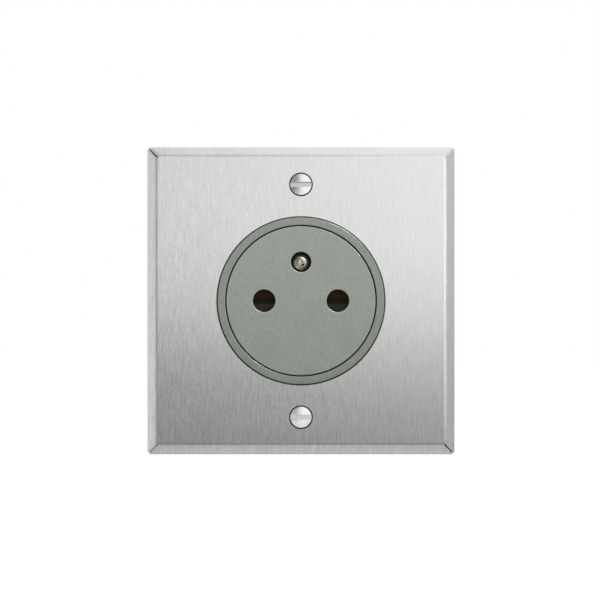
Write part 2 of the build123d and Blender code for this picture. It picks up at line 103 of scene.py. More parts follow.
class Graph:
    """Node tree of one material, written with short calls."""

    def __init__(self, name: str) -> None:
        """Starts a material with one Principled shader.

        Args:
            name: the material's name.
        """
        self.material = bpy.data.materials.new(name)
        self.material.use_nodes = True
        self.tree = self.material.node_tree
        self.tree.nodes.clear()
        self.shader = self.add("ShaderNodeBsdfPrincipled")
        self.add("ShaderNodeOutputMaterial", {"Surface": self.shader.outputs[0]})

    def add(self, kind: str, inputs: dict | None = None, **settings: object) -> bpy.types.Node:
        """Adds a node.

        Args:
            kind: Blender's name of the node.
            inputs: input name or number to a constant, or to a socket that is linked.
            settings: the node's own properties.

        Returns:
            The node.
        """
        node = self.tree.nodes.new(kind)
        for key, value in settings.items():
            setattr(node, key, value)
        self.feed(node, inputs or {})
        return node

    def feed(self, node: bpy.types.Node, inputs: dict) -> None:
        """Sets or links inputs of a node.

        Args:
            node: the node that is fed.
            inputs: input name or number to a constant or a socket.
        """
        for key, value in inputs.items():
            if isinstance(value, Socket):
                self.tree.links.new(value, node.inputs[key])
            else:
                node.inputs[key].default_value = value

    def coordinates(self) -> Socket:
        """Object coordinates."""
        return self.add("ShaderNodeTexCoord").outputs["Object"]

    def along(self, axis: Axis) -> Socket:
        """One of the object coordinates."""
        return self.add("ShaderNodeSeparateXYZ", {0: self.coordinates()}).outputs[axis.value]

    def length(self, vector: Socket) -> Socket:
        """Length of a vector."""
        return self.add("ShaderNodeVectorMath", {0: vector}, operation="LENGTH").outputs["Value"]

    def maths(self, operation: str, first: Value, second: Value = 0.0) -> Socket:
        """One step of arithmetic.

        Args:
            operation: Blender's name of the step.
            first: the first value.
            second: the second value, where the step has one.

        Returns:
            The result.
        """
        return self.add("ShaderNodeMath", {0: first, 1: second}, operation=operation).outputs[0]

    def noise(self, scale: Triple, detail: float = 2.0, roughness: float = 0.5) -> Socket:
        """Noise on object coordinates.

        Args:
            scale: cycles per metre along each axis.
            detail: octaves.
            roughness: weight of the finer octaves.

        Returns:
            The value socket, about 0.5 on average.
        """
        mapping = self.add("ShaderNodeMapping", {"Vector": self.coordinates(), "Scale": scale})
        inputs = {"Vector": mapping.outputs[0], "Scale": 1.0, "Detail": detail, "Roughness": roughness}
        return self.add("ShaderNodeTexNoise", inputs).outputs[0]

    def span(self, value: Socket, source: Span, target: Span = FULL) -> Socket:
        """Maps one range of values on another, held at its ends.

        Args:
            value: what is mapped.
            source: the range that it has.
            target: the range that it gets.

        Returns:
            The mapped value.
        """
        inputs = {"Value": value, 1: source[0], 2: source[1], 3: target[0], 4: target[1]}
        return self.add("ShaderNodeMapRange", inputs).outputs[0]

    def join(self, first: Value, second: Value, share: Value) -> Socket:
        """Weighted mean of two values.

        Args:
            first: the first value.
            second: the second value.
            share: weight of the second value.

        Returns:
            The mean.
        """
        return self.add("ShaderNodeMix", {0: share, 2: first, 3: second}).outputs[0]

    def tint(self, share: Socket, first: Colour | Socket, second: Colour | Socket) -> Socket:
        """Colour between two colours.

        Args:
            share: weight of the second colour.
            first: colour at 0.
            second: colour at 1.

        Returns:
            The colour socket.
        """
        ends = [end if isinstance(end, Socket) else (*end, 1.0) for end in (first, second)]
        return self.add("ShaderNodeMix", {0: share, 6: ends[0], 7: ends[1]}, data_type="RGBA").outputs[2]

    def relief(self, height: Socket, depth: float, strength: float, under: Socket | None = None) -> Socket:
        """Bump from a height of 0 to 1.

        Args:
            height: the height.
            depth: what a height of 1 stands for, in metres.
            strength: share of the bump that is used.
            under: normal that the bump starts from, the surface's own if left out.

        Returns:
            The normal socket.
        """
        bump = self.add("ShaderNodeBump", {"Height": height, "Distance": depth, "Strength": strength})
        if under:
            self.feed(bump, {"Normal": under})
        return bump.outputs[0]

    def glow(self, grey: float, roughness: float, strength: Value) -> None:
        """Makes the surface matt and lets it give off white light.

        Args:
            grey: level of its own colour.
            roughness: its roughness.
            strength: strength of its light.
        """
        self.feed(self.shader, {
            "Base Color": (grey, grey, grey, 1.0),
            "Roughness": roughness,
            "Specular IOR Level": 0.0,
            "Emission Color": (1.0, 1.0, 1.0, 1.0),
            "Emission Strength": strength,
        })


def shades(colour: Colour, contrast: float) -> list[Colour]:
    """A darker and a lighter shade of a colour, each part times 1 - contrast or 1 + contrast, held at 1."""
    return [tuple(min(1.0, part * factor) for part in colour) for factor in (1 - contrast, 1 + contrast)]


@dataclass(frozen=True)
class BrushedSteel:
    """Stainless sheet, brushed along Z before it was folded.

    Attributes:
        colour, contrast: mean colour, and how far the lines leave it.
        roughness, rough_spread, rough_from: mean, half range and the line values that give this range.
        anisotropy: stretch of the highlights across the lines.
        line, short, long: width of the fine lines, and lengths of the fine and the broad ones.
        broad_pitch, broad_share: lines per fine line, and weight of the broad lines.
        wear, wear_share: cycles per metre of slow wear, and its weight in the roughness.
        depth, bump: height of the lines, and the share of it that is used.
        highlight_calm, highlight_calm_from: strength of the lines' contrast at the upper right, lowered there
            as painted light where the plate lies brightest, and the range of x + z that leads there.
        fold, fold_side: radii of the folds at the upper left and lower right, and the x - z between them.
        fold_from, fold_to: distances from the middle where the rounding sets in and where it ends.
        fold_samples: rays that find the rounding.
    """

    colour: Colour = (0.3535, 0.3625, 0.3485)
    contrast: float = 0.225
    roughness: float = 0.4
    rough_spread: float = 0.05
    rough_from: Span = (0.25, 0.75)
    anisotropy: float = 0.55
    line: float = 0.27 * MM
    short: float = 1.0 * MM
    long: float = 4.6 * MM
    broad_pitch: float = 0.7
    broad_share: float = 0.52
    wear: float = 90.0
    wear_share: float = 0.3
    depth: float = 0.006 * MM
    bump: float = 0.4
    highlight_calm: float = 0.36
    highlight_calm_from: Span = (-40.0 * MM, 60.0 * MM)
    fold: Span = (2.0 * MM, 2.8 * MM)
    fold_side: Span = (-20.0 * MM, 20.0 * MM)
    fold_from: Span = (36.6 * MM, 37.2 * MM)
    fold_to: Span = (38.9 * MM, 39.8 * MM)
    fold_samples: int = 8

    def highlight_calming(self, graph: Graph) -> Socket:
        """Contrast of the lines, full at the lower left and lower where x + z is large: painted light for the
        bright upper right.

        Args:
            graph: the material's nodes.

        Returns:
            The strength, up to 1.
        """
        upper_right = graph.maths("ADD", graph.along(Axis.X), graph.along(Axis.Z))
        return graph.span(upper_right, self.highlight_calm_from, (1.0, self.highlight_calm))

    def folded(self, graph: Graph) -> Socket:
        """Normal that turns gently over the folds: rounded where max(|x|, |z|) is near the edge.

        Args:
            graph: the material's nodes.

        Returns:
            The normal socket.
        """
        x, z = graph.along(Axis.X), graph.along(Axis.Z)
        outer = graph.maths("MAXIMUM", graph.maths("ABSOLUTE", x), graph.maths("ABSOLUTE", z))
        radius = graph.span(graph.maths("SUBTRACT", x, z), self.fold_side, self.fold)
        for ends, levels in ((self.fold_from, (0.0, 1.0)), (self.fold_to, (1.0, 0.0))):
            radius = graph.maths("MULTIPLY", radius, graph.span(outer, ends, levels))
        return graph.add("ShaderNodeBevel", {"Radius": radius}, samples=self.fold_samples).outputs[0]

    def material(self) -> bpy.types.Material:
        """Fine and broad lines along Z vary colour, roughness and height.

        Returns:
            The material.
        """
        graph = Graph("brushed_steel")
        across = 1 / self.line
        fine = graph.noise((across, 1 / self.short, 1 / self.short), roughness=0.6)
        broad = graph.noise((self.broad_pitch * across, 1 / self.long, 1 / self.long))
        lines = graph.join(fine, broad, self.broad_share)
        worn = graph.noise((self.wear, self.wear, self.wear), detail=3.0, roughness=0.55)
        # The line contrast fades towards the upper right as painted light.
        shade = graph.join(0.5, graph.span(lines, NOISE), self.highlight_calming(graph))
        rough = graph.join(lines, worn, self.wear_share)
        rough_to = (self.roughness - self.rough_spread, self.roughness + self.rough_spread)
        tangent = graph.add("ShaderNodeTangent", direction_type="UV_MAP", uv_map="sheet")
        graph.feed(graph.shader, {
            "Base Color": graph.tint(shade, *shades(self.colour, self.contrast)),
            "Metallic": 1.0,
            "Roughness": graph.span(rough, self.rough_from, rough_to),
            "Anisotropic": self.anisotropy,
            "Tangent": tangent.outputs[0],
            "Normal": graph.relief(lines, self.depth, self.bump, self.folded(graph)),
        })
        return graph.material


@dataclass(frozen=True)
class DarkReflection:
    """Painted dark reflection on a metal, an ellipse as seen from the room.

    Attributes:
        centre: its x and z.
        half: half its length and half its width.
        tilt: turn of its length up from X, in degrees.
        edge: range of the ellipse's own radius over which it fades.
        colour: its colour.
    """

    centre: Pair
    half: Pair
    tilt: float
    edge: Span = (0.7, 1.3)
    colour: Colour = (0.02, 0.018, 0.015)

    def mask(self, graph: Graph) -> Socket:
        """Mark from the length of (u / a, w / b), with u along it and w across it.

        Args:
            graph: the material's nodes.

        Returns:
            1 inside the mark and 0 outside.
        """
        inputs = {
            "Vector": graph.coordinates(),
            "Location": (self.centre[0], 0.0, self.centre[1]),
            "Rotation": (0.0, -math.radians(self.tilt), 0.0),
            "Scale": (self.half[0], 1.0, self.half[1]),
        }
        mapping = graph.add("ShaderNodeMapping", inputs, vector_type="TEXTURE")
        return graph.span(graph.length(mapping.outputs[0]), self.edge, (1.0, 0.0))


@dataclass(frozen=True)
class PlatedMetal:
    """Smooth metal with faint scratches and handling marks.

    Attributes:
        name: name of the material.
        colour, contrast: mean colour, and how far the marks leave it.
        roughness, rough_spread: mean roughness, and the share by which it varies.
        mark: width of a handling mark.
        scratch_across, scratch_along: scratches per mark, across and along Z.
        depth, bump: depth of the scratches, and the share of it that is used.
        dark_reflection: a painted dark reflection, if there is one.
    """

    name: str
    colour: Colour
    roughness: float
    mark: float = 0.9 * MM
    contrast: float = 0.05
    depth: float = 0.003 * MM
    bump: float = 0.5
    rough_spread: float = 0.25
    scratch_across: float = 6.0
    scratch_along: float = 0.7
    dark_reflection: DarkReflection | None = None

    def material(self) -> bpy.types.Material:
        """Blotches vary the gloss, and fine noise gives shallow scratches.

        Returns:
            The material.
        """
        graph = Graph(self.name)
        pitch = 1 / self.mark
        across, along = self.scratch_across * pitch, self.scratch_along * pitch
        blotch = graph.noise((pitch, pitch, pitch), detail=3.0, roughness=0.6)
        scratch = graph.noise((across, across, along))
        colour = graph.tint(graph.span(blotch, NOISE), *shades(self.colour, self.contrast))
        # A painted dark reflection is laid over the colour.
        if self.dark_reflection:
            colour = graph.tint(self.dark_reflection.mask(graph), colour, self.dark_reflection.colour)
        rough_to = (self.roughness * (1 - self.rough_spread), self.roughness * (1 + self.rough_spread))
        graph.feed(graph.shader, {
            "Base Color": colour,
            "Metallic": 1.0,
            "Roughness": graph.span(blotch, NOISE, rough_to),
            "Normal": graph.relief(scratch, self.depth, self.bump),
        })
        return graph.material


@dataclass(frozen=True)
class MouldedPlastic:
    """Moulded plastic with a fine spark-eroded grain.

    Attributes:
        name: name of the material.
        colour, contrast: mean colour, and how far grain and clouds leave it.
        roughness, rough_spread: mean roughness, and half its range.
        specular: strength of the reflections.
        grain, depth, bump: width and height of the grain, and the share of the height that is used.
        cloud, cloud_share: cycles per metre of slow clouds, and their weight in the colour.
        sunk_tone_and_shade: two colours for what lies behind the front, the nearer one first; two tones of
            the moulding, with the light and shade inside the holes painted into them.
        sunk_from, sunk_to: depths over which the nearer colour and then the deeper one set in.
    """

    name: str
    colour: Colour
    roughness: float = 0.5
    specular: float = 0.35
    grain: float = 0.35 * MM
    depth: float = 0.012 * MM
    bump: float = 0.5
    contrast: float = 0.07
    rough_spread: float = 0.06
    cloud: float = 160.0
    cloud_share: float = 0.3
    sunk_tone_and_shade: tuple[Colour, Colour] | None = None
    sunk_from: Span = FULL
    sunk_to: Span = FULL

    def material(self) -> bpy.types.Material:
        """Grain in height and gloss, with slow clouds of colour, and two other colours where it is sunk,
        which hold painted light and shade.

        Returns:
            The material.
        """
        graph = Graph(self.name)
        pitch = 1 / self.grain
        grain = graph.noise((pitch, pitch, pitch))
        cloud = graph.noise((self.cloud, self.cloud, self.cloud), detail=3.0)
        shade = graph.span(graph.join(grain, cloud, self.cloud_share), NOISE)
        colour = graph.tint(shade, *shades(self.colour, self.contrast))
        # Colours by depth: two tones, with the painted light and shade of the holes' inside.
        if self.sunk_tone_and_shade:
            place = graph.along(Axis.Y)
            deep = graph.tint(graph.span(place, self.sunk_to), *self.sunk_tone_and_shade)
            colour = graph.tint(graph.span(place, self.sunk_from), colour, deep)
        rough_to = (self.roughness - self.rough_spread, self.roughness + self.rough_spread)
        graph.feed(graph.shader, {
            "Base Color": colour,
            "Roughness": graph.span(cloud, NOISE, rough_to),
            "Specular IOR Level": self.specular,
            "Normal": graph.relief(grain, self.depth, self.bump),
        })
        return graph.material


Finish = BrushedSteel | PlatedMetal | MouldedPlastic


@dataclass(frozen=True)
class Finishes:
    """Every finish of the socket."""

    steel: BrushedSteel = BrushedSteel()
    screw: PlatedMetal = PlatedMetal("plated_screw", (0.94, 0.945, 0.94), 0.17)
    slot: PlatedMetal = PlatedMetal("screw_slot", (0.84, 0.845, 0.84), 0.3, mark=0.4 * MM, contrast=0.08)
    # Sheared edges, painted near black as shade in the gaps round the screws, in the open seams and on the
    # slots' upper walls.
    cut: PlatedMetal = PlatedMetal("cut_edge_painted_shade", (0.05, 0.05, 0.048), 0.5, mark=0.4 * MM, contrast=0.15)
    # Pale grey for the seam at the lower left: painted light that lessens the shade in its groove.
    seam: PlatedMetal = PlatedMetal("seam_painted_lighter", (0.6, 0.6, 0.585), 0.5, mark=0.4 * MM, contrast=0.15)
    # The dark spot on the pin's tip is a painted reflection.
    pin: PlatedMetal = PlatedMetal(
        "nickel_pin", (0.525, 0.49, 0.39), 0.14, mark=0.5 * MM,
        dark_reflection=DarkReflection(centre=(0.5 * MM, 9.28 * MM), half=(0.56 * MM, 0.28 * MM), tilt=30.0),
    )
    zinc: PlatedMetal = PlatedMetal("zinc_sheet", (0.62, 0.64, 0.66), 0.36, mark=2.2 * MM, contrast=0.09)
    brass: PlatedMetal = PlatedMetal("stamped_brass", (0.80, 0.60, 0.29), 0.3, mark=1.4 * MM, contrast=0.08)
    wire: PlatedMetal = PlatedMetal("spring_wire", (0.56, 0.56, 0.55), 0.3, mark=0.6 * MM)
    face: MouldedPlastic = MouldedPlastic(
        "face_plastic", (0.2105, 0.232, 0.2045), 0.38, 0.4, grain=0.46 * MM, contrast=0.15,
    )
    face_edge: MouldedPlastic = MouldedPlastic(
        "face_edge", (0.2105, 0.232, 0.2045), 0.16, 0.6, depth=0.004 * MM,
    )
    ring: MouldedPlastic = MouldedPlastic(
        "ring_plastic", (0.136, 0.156, 0.1325), 0.32, 0.7, grain=0.46 * MM, contrast=0.18,
    )
    ring_edge: MouldedPlastic = MouldedPlastic(
        "ring_edge", (0.136, 0.156, 0.1325), 0.16, 0.7, depth=0.004 * MM,
    )
    # The shutter's colours by depth: a dark olive front and a brown ramp behind it, two tones with painted
    # light and shade.
    shutter: MouldedPlastic = MouldedPlastic(
        "shutter_plastic", (0.016, 0.0155, 0.0065), 0.5, 0.12,
        sunk_tone_and_shade=((0.024, 0.0155, 0.0066), (0.16, 0.103, 0.046)),
        sunk_from=(-2.1 * MM, -1.5 * MM), sunk_to=(-1.1 * MM, 0.7 * MM),
    )
    inner: MouldedPlastic = MouldedPlastic("retainer_plastic", (0.2, 0.21, 0.2), 0.5)
    base: MouldedPlastic = MouldedPlastic("base_plastic", (0.05, 0.051, 0.053), 0.42, grain=0.2 * MM)


@dataclass
class Patch:
    """Grid of points in rows and columns, with its last column joined to the first where it is closed."""

    points: np.ndarray
    closed: bool = False

    def quads(self) -> np.ndarray:
        """Numbers of the four points of every cell.

        Returns:
            An array of one row of four numbers for each cell.
        """
        rows, columns = self.points.shape[:2]
        number = np.arange(rows * columns).reshape(rows, columns)
        if self.closed:
            number = np.hstack([number, number[:, :1]])
        cells = [number[:-1, :-1], number[1:, :-1], number[1:, 1:], number[:-1, 1:]]
        return np.stack(cells, axis=-1).reshape(-1, 4)


def lathe(profile: np.ndarray, angles: np.ndarray, centre: Triple) -> Patch:
    """Profile turned about an axis along Y: (x, z) = centre + radius (cos a, sin a), y = depth.

    Args:
        profile: rows of radius and depth.
        angles: angles of the columns, a full turn without its end.
        centre: a point on the axis.

    Returns:
        The closed grid.
    """
    radius, depth = profile[:, :1], profile[:, 1:]
    x = centre[0] + radius * np.cos(angles)
    y = centre[1] + depth + 0 * angles
    z = centre[2] + radius * np.sin(angles)
    return Patch(np.stack([x, y, z], axis=-1), closed=True)


def make_mesh(name: str, patches: list[Patch], crease: float) -> bpy.types.Mesh:
    """Joins grids into one closed mesh with smooth shading.

    Args:
        name: name of the mesh.
        patches: grids that meet at their edges.
        crease: angle in degrees past which an edge stays sharp.

    Returns:
        The mesh, with its faces pointing outwards.
    """
    counts = np.cumsum([0] + [patch.points.shape[0] * patch.points.shape[1] for patch in patches])
    points = np.vstack([patch.points.reshape(-1, 3) for patch in patches])
    quads = np.vstack([patch.quads() + start for patch, start in zip(patches, counts)])
    mesh = bpy.data.meshes.new(name)
    mesh.from_pydata(points.tolist(), [], quads.tolist())
    weld(mesh, crease, outward=True)
    return mesh


def weld(mesh: bpy.types.Mesh, crease: float, outward: bool = False) -> None:
    """Joins points that coincide and smooths all but the sharp edges.

    Args:
        mesh: the mesh that is changed.
        crease: angle in degrees past which an edge stays sharp.
        outward: turn the faces of a closed mesh outwards.
    """
    work = bmesh.new()
    work.from_mesh(mesh)
    bmesh.ops.remove_doubles(work, verts=work.verts, dist=SAME_POINT)
    bmesh.ops.dissolve_degenerate(work, edges=work.edges, dist=TINY_EDGE)
    if outward:
        bmesh.ops.recalc_face_normals(work, faces=work.faces)
    work.to_mesh(mesh)
    work.free()
    mesh.polygons.foreach_set("use_smooth", np.ones(len(mesh.polygons), bool))
    mesh.set_sharp_from_angle(angle=math.radians(crease))


def lay_flat(mesh: bpy.types.Mesh) -> None:
    """Writes the UV map "sheet", the mesh as seen from the room: (u, v) = (x, z) / SHEET + 0.5.

    Args:
        mesh: the mesh that gets the map.
    """
    points = np.empty(len(mesh.vertices) * 3, np.float32)
    mesh.vertices.foreach_get("co", points)
    corner = np.empty(len(mesh.loops), np.int32)
    mesh.loops.foreach_get("vertex_index", corner)
    flat = points.reshape(-1, 3)[corner][:, [0, 2]] / SHEET + 0.5
    layer = mesh.uv_layers.get("sheet") or mesh.uv_layers.new(name="sheet")
    layer.data.foreach_set("uv", flat.astype(np.float32).ravel())


def faces_of(mesh: bpy.types.Mesh) -> tuple[np.ndarray, np.ndarray]:
    """Middles and normals of a mesh's faces.

    Args:
        mesh: the mesh.

    Returns:
        Two arrays of one row for each face.
    """
    middle, normal = np.empty((2, len(mesh.polygons) * 3), np.float32)
    mesh.polygons.foreach_get("center", middle)
    mesh.polygons.foreach_get("normal", normal)
    return middle.reshape(-1, 3), normal.reshape(-1, 3)


@dataclass(frozen=True)
class Dresser:
    """Places pieces on their bodies and gives them their finishes."""

    finishes: Finishes
    made: dict[str, bpy.types.Material] = field(default_factory=dict)

    def material_of(self, finish: Finish) -> bpy.types.Material:
        """Material of a finish, made once.

        Args:
            finish: the finish.

        Returns:
            The material.
        """
        key = repr(finish)
        if key not in self.made:
            self.made[key] = finish.material()
        return self.made[key]

    def keep(self, node: str, finish: Finish) -> None:
        """Gives a solid that stays its finish.

        Args:
            node: name of the solid.
            finish: its finish.
        """
        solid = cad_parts[node]
        solid.data.materials.clear()
        solid.data.materials.append(self.material_of(finish))
        log.info("%s keeps its solid, finished as %s", node, solid.data.materials[0].name)

    def add(self, mesh: bpy.types.Mesh, body: Body, slot: str, finish: Finish, node: str) -> bpy.types.Object:
        """Puts a new mesh in the scene.

        Args:
            mesh: the mesh, in its place.
            body: the body that it rides on.
            slot: the record's material slot; not used.
            finish: its finish.
            node: the solid that it stands for.

        Returns:
            The object.
        """
        piece = bpy.data.objects.new(mesh.name, mesh)
        bpy.context.scene.collection.objects.link(piece)
        mesh.materials.clear()
        mesh.materials.append(self.material_of(finish))
        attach(piece, body.value)
        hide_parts(node)
        log.info("%s: %d faces, on %s", piece.name, len(mesh.polygons), body.value)
        return piece

    def soften(self, node: str, body: Body, slot: str, finish: Finish, crease: float) -> bpy.types.Object:
        """Stands a joined copy of a solid in its place, smooth over its rounded edges.

        Args:
            node: name of the solid.
            body: the body that it rides on.
            slot: the record's material slot.
            finish: its finish.
            crease: angle in degrees past which an edge stays sharp.

        Returns:
            The object.
        """
        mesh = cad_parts[node].data.copy()
        mesh.name = f"{node}_smooth"
        if "custom_normal" in mesh.attributes:
            mesh.attributes.remove(mesh.attributes["custom_normal"])
        weld(mesh, crease)
        lay_flat(mesh)
        piece = self.add(mesh, body, slot, finish, node)
        shade = piece.modifiers.new("even_shading", "WEIGHTED_NORMAL")
        shade.mode = "FACE_AREA"
        shade.weight = 100
        shade.keep_sharp = True
        return piece

    def paint(self, piece: bpy.types.Object, chosen: np.ndarray, finish: Finish) -> None:
        """Gives some faces of a new piece a finish of their own.

        Args:
            piece: the piece.
            chosen: one truth value for each face.
            finish: the finish of the chosen faces.
        """
        number = len(piece.data.materials)
        piece.data.materials.append(self.material_of(finish))
        index = np.zeros(len(piece.data.polygons), np.int32)
        piece.data.polygons.foreach_get("material_index", index)
        piece.data.polygons.foreach_set("material_index", np.where(chosen, number, index).astype(np.int32))
        name = piece.data.materials[number].name
        log.info("%s: %d faces finished as %s", piece.name, int(chosen.sum()), name)


@dataclass
class FixingScrews:
    """Two slotted screws through the plate, with a cut thread behind it.

    Attributes:
        spacing: distance between the screws.
        head, plate_front, rim_back, dome: the head's width, its rim's front and back depth, and its rise.
        slot, edge: width of the slot, and radius of the rounded edges.
        shank, cone_back: width of the shank, and the depth where the cone under the head meets it.
        thread, pitch, groove: width of the thread, its pitch and its depth.
        thread_slope, crest: steepness of the flanks, and the share of them that the flat crest takes.
        reach, point, end_radius: depth of the end, length of its taper and the least radius there.
        arc_points, end_points, front_rows, turn_rows: points over half a head, over a slot's end, from
            slot to rim, and rows in one turn of the thread.
        rim_share: share of the head's width past which a face lies on its rim.
        floor_near: distance within which a face lies on the slot's floor.
        crease: angle in degrees past which an edge stays sharp.
    """

    spacing: float = 60.0 * MM
    head: float = 5.5 * MM
    plate_front: float = -4.0 * MM
    dome: float = 0.11 * MM
    rim_back: float = -3.3 * MM
    slot: float = 1.2 * MM
    edge: float = 0.07 * MM
    shank: float = 2.6 * MM
    cone_back: float = -1.85 * MM
    thread: float = 3.0 * MM
    pitch: float = 0.5 * MM
    groove: float = 0.24 * MM
    thread_slope: float = 1.25
    crest: float = 0.12
    reach: float = 20.0 * MM
    point: float = 0.5 * MM
    end_radius: float = 0.1 * MM
    arc_points: int = 41
    end_points: int = 7
    front_rows: int = 33
    turn_rows: int = 10
    rim_share: float = 0.49
    floor_near: float = 0.01 * MM
    crease: float = 38.0

    def angles(self) -> tuple[np.ndarray, np.ndarray]:
        """Angles of the arc over one half of the head and over one end of its slot.

        Returns:
            The half's angles and the slot end's angles, each with both ends.
        """
        edge = math.asin(self.slot / self.head)
        share = np.linspace(-1, 1, self.arc_points)
        half = np.pi / 2 + (np.pi / 2 - edge) * np.sin(share * np.pi / 2)
        return half, np.linspace(-edge, edge, self.end_points)

    def rounded(self, distance: np.ndarray) -> np.ndarray:
        """Drop of a quarter-round edge: e - sqrt(e^2 - (e - d)^2) for distances d below the edge radius e."""
        inside = np.clip(self.edge - distance, 0, self.edge)
        return self.edge - np.sqrt(self.edge ** 2 - inside ** 2)

    def crown(self, x: np.ndarray, z: np.ndarray) -> np.ndarray:
        """Depth of the head's front: a shallow dome, rise (1 - (2 r / head)^2), with rounded edges.

        Args:
            x: places to the right of the screw's axis.
            z: places above it.

        Returns:
            The depth at each place.
        """
        radius = np.hypot(x, z)
        top = self.plate_front - self.dome * (1 - (2 * radius / self.head) ** 2)
        return top + self.rounded(self.head / 2 - radius) + self.rounded(np.abs(z) - self.slot / 2)

    def half_head(self, side: int) -> list[Patch]:
        """One half of the head above or below the slot: z runs from the slot to the rim at each x.

        The rows stand closer at both ends, t = (1 - cos(pi s)) / 2 taken twice, to follow the rounded edges.

        Args:
            side: 1 for the upper half, -1 for the lower.

        Returns:
            The front, the slot's wall and the rim.
        """
        half, _ = self.angles()
        x = self.head / 2 * np.cos(half)
        t = 0.5 - 0.5 * np.cos(np.linspace(0, np.pi, self.front_rows))[:, None]
        t = 0.5 - 0.5 * np.cos(np.pi * t)
        z = self.slot / 2 + t * (self.head / 2 * np.sin(half) - self.slot / 2)
        x = x + 0 * z
        front = np.stack([x, self.crown(x, z), side * z], axis=-1)
        flatten = np.array([1.0, 0.0, 1.0])
        low = np.array([0.0, self.rim_back, 0.0])
        wall = np.stack([front[0], front[0] * flatten + low])
        rim = np.stack([front[-1], front[-1] * flatten + low])
        return [Patch(front), Patch(wall), Patch(rim)]

    def slot_floor(self) -> Patch:
        """Floor of the slot: x = s sqrt(r^2 - z^2) for s from -1 to 1, at the rim's back.

        Returns:
            The grid.
        """
        half, end = self.angles()
        share = np.cos(half) / math.cos(end[-1])
        z = self.head / 2 * np.sin(end)[:, None] + 0 * share
        x = self.head / 2 * np.cos(end)[:, None] * share
        return Patch(np.stack([x, self.rim_back + 0 * x, z], axis=-1))

    def stem(self) -> Patch:
        """Cone, shank and thread: r = R - groove clip(slope |2 saw(y / pitch - a / 2 pi)| - crest, 0, 1).

        A known fault: the angles of each half fall instead of rising, so a narrow slit runs along each side.

        Returns:
            The grid, with its last column joined to the first.
        """
        half, end = self.angles()
        around = np.concatenate([end[:-1], half[::-1][:-1], end[:-1] + np.pi, half[::-1][:-1] + np.pi])
        rows = int(self.reach / self.pitch * self.turn_rows)
        depth = np.linspace(0, self.reach, rows + 1)[:, None]
        phase = depth / self.pitch - around / (2 * np.pi)
        cut = np.abs(2 * (phase - np.floor(phase + 0.5)))
        fade = np.clip(depth / self.pitch, 0, 1) * np.clip((self.reach - depth) / self.pitch, 0, 1)
        radius = self.thread / 2 - self.groove * np.clip(self.thread_slope * cut - self.crest, 0, 1) * fade
        taper = np.clip(depth - (self.reach - self.point), 0, None)
        radius = np.maximum(radius - taper, self.end_radius)
        start = np.array([
            [self.head / 2, self.rim_back], [self.shank / 2, self.cone_back], [self.shank / 2, 0.0],
        ])
        radius = np.vstack([start[:, :1] + 0 * around, radius, 0 * around[None]])
        depth = np.vstack([start[:, 1:], depth, [[self.reach]]]) + 0 * around
        points = np.stack([radius * np.cos(around), depth, radius * np.sin(around)], axis=-1)
        return Patch(points, closed=True)

    def build(self, dresser: Dresser) -> None:
        """Both screws as one piece in place of their solids.

        Args:
            dresser: gives them their finishes.
        """
        single = self.half_head(1) + self.half_head(-1) + [self.slot_floor(), self.stem()]
        patches = [
            Patch(patch.points + np.array([0, 0, place]), patch.closed)
            for place in (-self.spacing / 2, self.spacing / 2)
            for patch in single
        ]
        finishes = dresser.finishes
        mesh = make_mesh(SCREWS, patches, self.crease)
        piece = dresser.add(mesh, Body.HOUSING, "screw_nickel", finishes.screw, "fixing_screws")
        middle, normal = faces_of(mesh)
        off_axis = np.hypot(middle[:, 0], np.abs(middle[:, 2]) - self.spacing / 2)
        on_rim = off_axis > self.rim_share * self.head
        on_floor = np.abs(middle[:, 1] - self.rim_back) < self.floor_near
        in_head = middle[:, 1] < self.rim_back
        # Painted shade: the head's side, in the gap round it, is painted near black.
        dresser.paint(piece, on_rim & (np.abs(normal[:, 1]) < WALL), finishes.cut)
        dresser.paint(piece, on_floor & (np.abs(normal[:, 1]) > FRONT), finishes.slot)
        # Painted shadow: the slot's upper wall, which faces down, is painted near black.
        dresser.paint(piece, in_head & ~on_rim & (normal[:, 2] < -STRAIGHT), finishes.cut)


